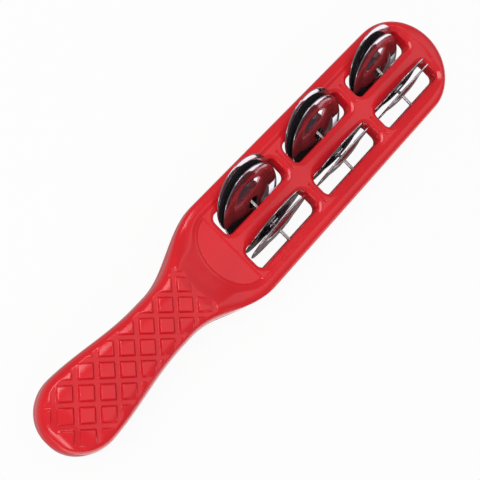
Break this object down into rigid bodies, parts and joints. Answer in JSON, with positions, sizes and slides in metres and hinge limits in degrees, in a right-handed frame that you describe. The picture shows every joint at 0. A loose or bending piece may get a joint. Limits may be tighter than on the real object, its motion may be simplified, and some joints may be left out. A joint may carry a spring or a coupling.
{
  "type": "jingle stick",
  "caption": "Hand-held jingle stick: moulded red two-shell body with a diamond grip and a slotted head, cross pins and loose domed metal jingles in pairs.",
  "frame": {"origin": "under the middle of the stick's length and width, on the level surface that the jingles' rims stand on", "axes": "+X across the stick to the right seen from the front, +Y along it towards the head's end, +Z out of the front face"},
  "size_m": [0.041, 0.2194, 0.0298],
  "materials": {
    "red_plastic": "moulded glossy red plastic",
    "plated_sheet": "bright nickel-plated pressed sheet steel",
    "steel_wire": "drawn steel wire"
  },
  "bodies": {
    "stick": {"front_shell": "red_plastic", "back_shell": "red_plastic", "cross_pin_1": "steel_wire", "cross_pin_2": "steel_wire", "cross_pin_3": "steel_wire"},
    "left_jingle_1_outer": {"left_jingle_1_outer": "plated_sheet"},
    "left_jingle_1_inner": {"left_jingle_1_inner": "plated_sheet"},
    "right_jingle_1_inner": {"right_jingle_1_inner": "plated_sheet"},
    "right_jingle_1_outer": {"right_jingle_1_outer": "plated_sheet"},
    "left_jingle_2_outer": {"left_jingle_2_outer": "plated_sheet"},
    "left_jingle_2_inner": {"left_jingle_2_inner": "plated_sheet"},
    "right_jingle_2_inner": {"right_jingle_2_inner": "plated_sheet"},
    "right_jingle_2_outer": {"right_jingle_2_outer": "plated_sheet"},
    "left_jingle_3_outer": {"left_jingle_3_outer": "plated_sheet"},
    "left_jingle_3_inner": {"left_jingle_3_inner": "plated_sheet"},
    "right_jingle_3_inner": {"right_jingle_3_inner": "plated_sheet"},
    "right_jingle_3_outer": {"right_jingle_3_outer": "plated_sheet"}
  },
  "joints": [
    {"name": "left_1_outer_tilt", "type": "hinge", "parent": "stick", "child": "left_jingle_1_outer", "pos_m": [-0.0093, 0.0021, 0.01435], "axis": [0, 1, 0], "range_deg": [0, 60]},
    {"name": "left_1_inner_tilt", "type": "hinge", "parent": "stick", "child": "left_jingle_1_inner", "pos_m": [-0.0055, 0.0024, 0.01271], "axis": [0, 1, 0], "range_deg": [0, 60]},
    {"name": "right_1_inner_slide", "type": "slide", "parent": "stick", "child": "right_jingle_1_inner", "axis": [1, 0, 0], "range_m": [0, 0.0012]},
    {"name": "right_1_outer_slide", "type": "slide", "parent": "stick", "child": "right_jingle_1_outer", "axis": [1, 0, 0], "range_m": [0, 0.0035]},
    {"name": "left_2_outer_tilt", "type": "hinge", "parent": "stick", "child": "left_jingle_2_outer", "pos_m": [-0.0093, 0.04165, 0.01435], "axis": [0, 1, 0], "range_deg": [0, 60]},
    {"name": "left_2_inner_tilt", "type": "hinge", "parent": "stick", "child": "left_jingle_2_inner", "pos_m": [-0.0055, 0.04255, 0.01286], "axis": [0, 1, 0], "range_deg": [0, 60]},
    {"name": "right_2_inner_slide", "type": "slide", "parent": "stick", "child": "right_jingle_2_inner", "axis": [1, 0, 0], "range_m": [0, 0.0012]},
    {"name": "right_2_outer_slide", "type": "slide", "parent": "stick", "child": "right_jingle_2_outer", "axis": [1, 0, 0], "range_m": [0, 0.0035]},
    {"name": "left_3_outer_tilt", "type": "hinge", "parent": "stick", "child": "left_jingle_3_outer", "pos_m": [-0.0093, 0.0828, 0.01435], "axis": [0, 1, 0], "range_deg": [0, 60]},
    {"name": "left_3_inner_tilt", "type": "hinge", "parent": "stick", "child": "left_jingle_3_inner", "pos_m": [-0.0055, 0.0822, 0.01309], "axis": [0, 1, 0], "range_deg": [0, 60]},
    {"name": "right_3_inner_slide", "type": "slide", "parent": "stick", "child": "right_jingle_3_inner", "axis": [1, 0, 0], "range_m": [0, 0.0012]},
    {"name": "right_3_outer_slide", "type": "slide", "parent": "stick", "child": "right_jingle_3_outer", "axis": [1, 0, 0], "range_m": [0, 0.0035]}
  ],
  "couplings": [
    {"joint": "left_1_inner_tilt", "follows": "left_1_outer_tilt", "ratio": 1},
    {"joint": "left_2_inner_tilt", "follows": "left_2_outer_tilt", "ratio": 1},
    {"joint": "left_3_inner_tilt", "follows": "left_3_outer_tilt", "ratio": 1}
  ]
}
